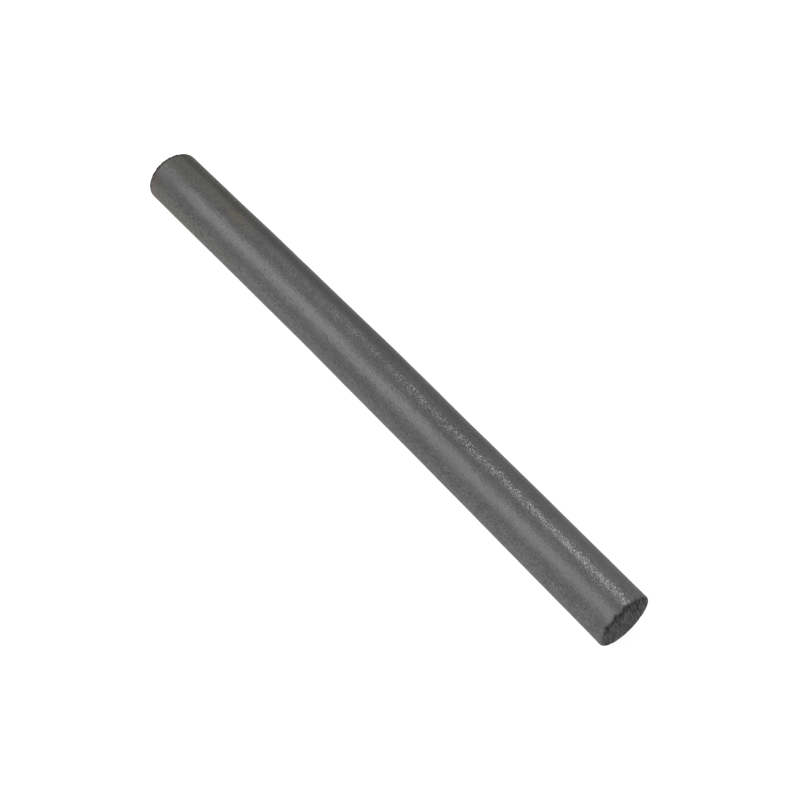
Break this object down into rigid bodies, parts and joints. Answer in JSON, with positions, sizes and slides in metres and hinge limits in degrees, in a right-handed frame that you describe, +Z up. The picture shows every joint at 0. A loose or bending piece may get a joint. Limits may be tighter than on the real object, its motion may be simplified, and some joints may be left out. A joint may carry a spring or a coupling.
{
  "type": "charcoal stick",
  "caption": "Straight round drawing stick of compressed charcoal, with one flat cut end, one domed snapped end and a narrow drying flat along its underside.",
  "frame": {"origin": "on the surface that the stick lies on, under the middle of its length and of its width", "axes": "+X along the stick, from the snapped end to the cut end; +Z up, away from the drying flat that the stick lies on; +Y to the left, seen from the snapped end"},
  "size_m": [0.095, 0.008, 0.0079],
  "materials": {
    "charcoal": "burnished dark grey, semi-gloss with fine glints on the side, dull and granular on the ends"
  },
  "bodies": {
    "root": {"charcoal_stick": "charcoal"}
  },
  "joints": []
}
